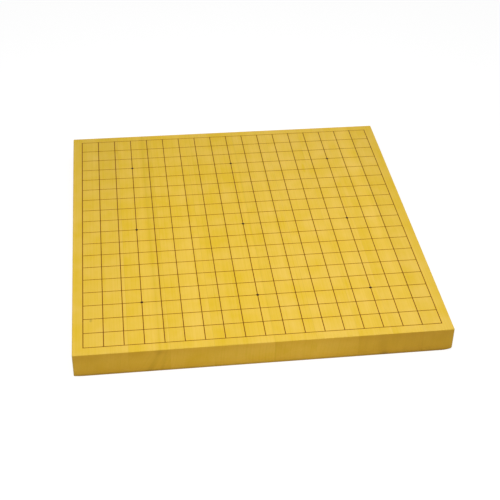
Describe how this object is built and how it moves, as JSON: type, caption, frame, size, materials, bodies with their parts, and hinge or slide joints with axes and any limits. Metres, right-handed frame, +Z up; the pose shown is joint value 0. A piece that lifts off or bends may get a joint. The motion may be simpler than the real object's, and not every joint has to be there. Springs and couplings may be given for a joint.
{
  "type": "weiqi board",
  "caption": "Flat table board for weiqi, glued up from straight-grained wooden staves, with a raised lacquer grid and star points on its playing face.",
  "frame": {"origin": "centre of the underside, on the surface that the board lies on", "axes": "+X to the right of the player at the front, +Y away from that player along the grain and the long lines, +Z up out of the playing face"},
  "size_m": [0.42, 0.45, 0.0304],
  "materials": {
    "spruce": "satin",
    "line_lacquer": "satin",
    "star_lacquer": "satin"
  },
  "bodies": {
    "root": {"cross_line_01": "line_lacquer", "cross_line_02": "line_lacquer", "cross_line_03": "line_lacquer", "cross_line_04": "line_lacquer", "cross_line_05": "line_lacquer", "cross_line_06": "line_lacquer", "cross_line_07": "line_lacquer", "cross_line_08": "line_lacquer", "cross_line_09": "line_lacquer", "cross_line_10": "line_lacquer", "cross_line_11": "line_lacquer", "cross_line_12": "line_lacquer", "cross_line_13": "line_lacquer", "cross_line_14": "line_lacquer", "cross_line_15": "line_lacquer", "cross_line_16": "line_lacquer", "cross_line_17": "line_lacquer", "cross_line_18": "line_lacquer", "cross_line_19": "line_lacquer", "long_line_01": "line_lacquer", "long_line_02": "line_lacquer", "long_line_03": "line_lacquer", "long_line_04": "line_lacquer", "long_line_05": "line_lacquer", "long_line_06": "line_lacquer", "long_line_07": "line_lacquer", "long_line_08": "line_lacquer", "long_line_09": "line_lacquer", "long_line_10": "line_lacquer", "long_line_11": "line_lacquer", "long_line_12": "line_lacquer", "long_line_13": "line_lacquer", "long_line_14": "line_lacquer", "long_line_15": "line_lacquer", "long_line_16": "line_lacquer", "long_line_17": "line_lacquer", "long_line_18": "line_lacquer", "long_line_19": "line_lacquer", "star_point_back_centre": "star_lacquer", "star_point_back_left": "star_lacquer", "star_point_back_right": "star_lacquer", "star_point_front_centre": "star_lacquer", "star_point_front_left": "star_lacquer", "star_point_front_right": "star_lacquer", "star_point_middle_centre": "star_lacquer", "star_point_middle_left": "star_lacquer", "star_point_middle_right": "star_lacquer", "stave_1": "spruce", "stave_2": "spruce", "stave_3": "spruce", "stave_4": "spruce", "stave_5": "spruce", "stave_6": "spruce", "stave_7": "spruce", "stave_8": "spruce", "stave_9": "spruce"}
  },
  "joints": []
}
